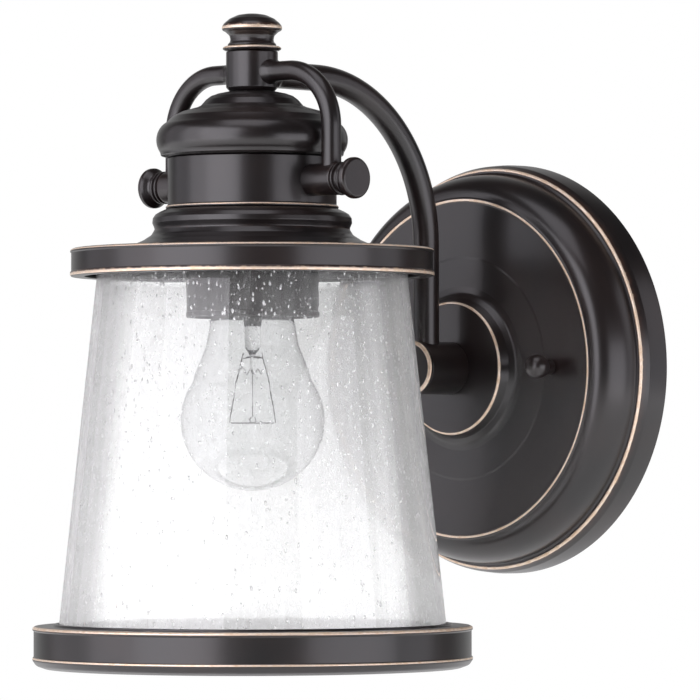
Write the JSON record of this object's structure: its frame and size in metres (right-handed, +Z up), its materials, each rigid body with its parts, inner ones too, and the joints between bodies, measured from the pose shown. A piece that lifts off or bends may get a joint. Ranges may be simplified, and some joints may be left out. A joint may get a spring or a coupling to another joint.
{
  "type": "outdoor wall lantern",
  "caption": "Outdoor wall lantern: round backplate, curved arm, domed cap with yoke and thumb screws, and an open seeded glass shade with a metal foot ring over one bulb.",
  "frame": {"origin": "centre of the wall plane, on the back face of the crossbar behind the backplate", "axes": "+Z up, +Y into the wall, so the lantern stands out towards -Y; +X to the right seen from in front"},
  "size_m": [0.183, 0.2527, 0.2721],
  "materials": {
    "bronze": "satin dark bronze with rubbed copper edges",
    "zinc_steel": "zinc plated",
    "green_zinc": "green dyed zinc",
    "foam": "closed-cell foam",
    "silicone": "translucent silicone",
    "seeded_glass": "clear with seeds",
    "bulb_glass": "clear",
    "phenolic": "moulded black",
    "brass": "pressed",
    "aluminium": "pressed",
    "black_glass": "fired black glass",
    "tungsten": "drawn wire"
  },
  "bodies": {
    "lantern_frame": {"backplate": "bronze", "stem": "bronze", "stem_cap": "bronze", "main_arm": "bronze", "hub": "bronze", "finial_washer": "bronze", "yoke_arm_left": "bronze", "yoke_arm_right": "bronze", "side_boss_left": "bronze", "side_boss_right": "bronze", "crown": "bronze", "band": "bronze", "shade_cap": "bronze", "bottom_ring": "bronze", "crossbar": "zinc_steel", "mounting_stud_left": "zinc_steel", "mounting_stud_right": "zinc_steel", "stud_nut_left": "zinc_steel", "stud_nut_right": "zinc_steel", "stem_nipple": "zinc_steel", "stem_nut": "zinc_steel", "insert_nut_left": "zinc_steel", "insert_nut_right": "zinc_steel", "crown_nut": "zinc_steel", "cap_nut": "zinc_steel", "centre_nipple": "zinc_steel", "ground_screw": "green_zinc", "wall_gasket": "foam", "glass_gasket": "foam", "cup_gasket": "foam", "ring_seal": "silicone", "glass_shade": "seeded_glass", "lampholder": "phenolic", "screw_shell": "brass", "centre_contact": "brass"},
    "finial": {"finial": "bronze"},
    "thumb_screw_left": {"thumb_screw_left": "bronze"},
    "thumb_screw_right": {"thumb_screw_right": "bronze"},
    "ball_nut_left": {"ball_nut_left": "bronze"},
    "ball_nut_right": {"ball_nut_right": "bronze"},
    "socket_cup": {"socket_cup": "bronze"},
    "bulb": {"bulb_glass": "bulb_glass", "bulb_base": "aluminium", "bulb_insulator": "black_glass", "bulb_tip": "aluminium", "bulb_stem": "bulb_glass", "lead_wire_left": "tungsten", "lead_wire_right": "tungsten", "filament": "tungsten"}
  },
  "joints": [
    {"name": "finial_turn", "type": "hinge", "parent": "lantern_frame", "child": "finial", "pos_m": [0, -0.1612, 0.138], "axis": [0, 0, 1], "continuous": true},
    {"name": "thumb_screw_left_turn", "type": "hinge", "parent": "lantern_frame", "child": "thumb_screw_left", "pos_m": [-0.055, -0.1612, 0.0757], "axis": [-1, 0, 0], "continuous": true},
    {"name": "thumb_screw_right_turn", "type": "hinge", "parent": "lantern_frame", "child": "thumb_screw_right", "pos_m": [0.055, -0.1612, 0.0757], "axis": [1, 0, 0], "continuous": true},
    {"name": "ball_nut_left_turn", "type": "hinge", "parent": "lantern_frame", "child": "ball_nut_left", "pos_m": [-0.052, -0.041, 0], "axis": [0, -1, 0], "continuous": true},
    {"name": "ball_nut_right_turn", "type": "hinge", "parent": "lantern_frame", "child": "ball_nut_right", "pos_m": [0.052, -0.041, 0], "axis": [0, -1, 0], "continuous": true},
    {"name": "socket_cup_turn", "type": "hinge", "parent": "lantern_frame", "child": "socket_cup", "pos_m": [0, -0.1612, 0.03], "axis": [0, 0, 1], "continuous": true},
    {"name": "bulb_turn", "type": "hinge", "parent": "lantern_frame", "child": "bulb", "pos_m": [0, -0.1612, 0], "axis": [0, 0, 1], "continuous": true}
  ]
}
